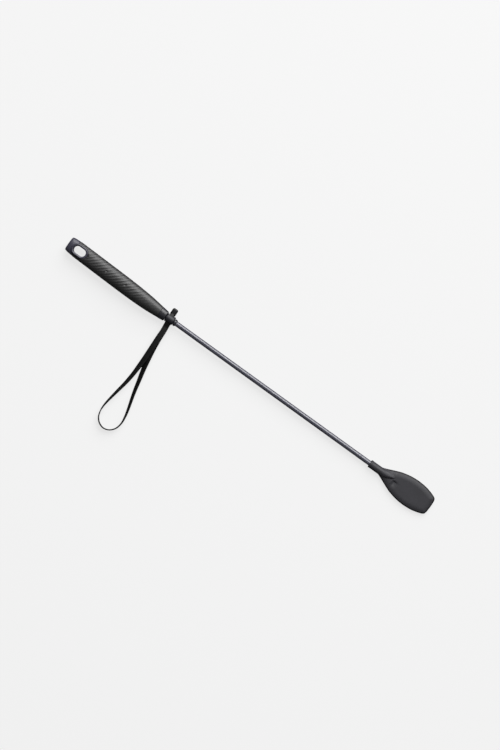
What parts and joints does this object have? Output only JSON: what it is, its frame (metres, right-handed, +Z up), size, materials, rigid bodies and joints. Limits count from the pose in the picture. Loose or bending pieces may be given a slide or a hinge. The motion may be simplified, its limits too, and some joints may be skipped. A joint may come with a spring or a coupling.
{
  "type": "riding crop",
  "caption": "Riding crop lying flat: rubber handle with a hanging eye at the butt, looped wrist strap through a collar, slim lacquered shaft and a flat tongue-shaped leather flap.",
  "frame": {"origin": "centre of the bounding box's base, on the surface that the crop lies on", "axes": "+X along the shaft from the butt towards the flap, +Y sideways towards the strap's moulded end (the loop lies towards -Y), +Z up from the surface; the shaft's own axis dips by 0.5 degrees towards the flap, because the handle is thicker than the flap's neck"},
  "size_m": [0.65, 0.2068, 0.0206],
  "materials": {
    "core_plastic": "moulded blue-black polymer, satin gloss",
    "grip_rubber": "soft black rubber with fine diagonal ribs",
    "shaft_lacquer": "grey lacquered woven sleeve, glossy",
    "fibreglass": "black pultruded rod, hidden",
    "strap_leather": "black flat strap, matt",
    "tab_rubber": "moulded black strap end",
    "flap_leather": "charcoal synthetic leather, satin",
    "insert_board": "stiffening board, hidden"
  },
  "bodies": {
    "crop": {"handle_core": "core_plastic", "grip_sleeve": "grip_rubber", "strap_collar": "core_plastic", "front_ring": "core_plastic", "shaft_rod": "fibreglass", "shaft_sleeve": "shaft_lacquer", "shaft_tip_cap": "core_plastic", "strap_tab": "tab_rubber", "strap_root_upper": "strap_leather", "strap_root_lower": "strap_leather", "neck_upper_ply": "flap_leather", "neck_lower_ply": "flap_leather"},
    "wrist_strap": {"wrist_loop": "strap_leather"},
    "flap_blade": {"blade_upper_ply": "flap_leather", "blade_lower_ply": "flap_leather", "blade_insert": "insert_board"}
  },
  "joints": [
    {"name": "strap_swing", "type": "hinge", "parent": "crop", "child": "wrist_strap", "pos_m": [-0.13946, 0.06551, 0.00948], "axis": [0.9935, 0.1132, -0.0094], "range_deg": [-85, 85]},
    {"name": "flap_flex", "type": "hinge", "parent": "crop", "child": "flap_blade", "pos_m": [0.263, 0.0824, 0.00567], "axis": [0, 1, 0], "range_deg": [-50, 50], "stiffness_Nm_per_rad": 0.3}
  ]
}
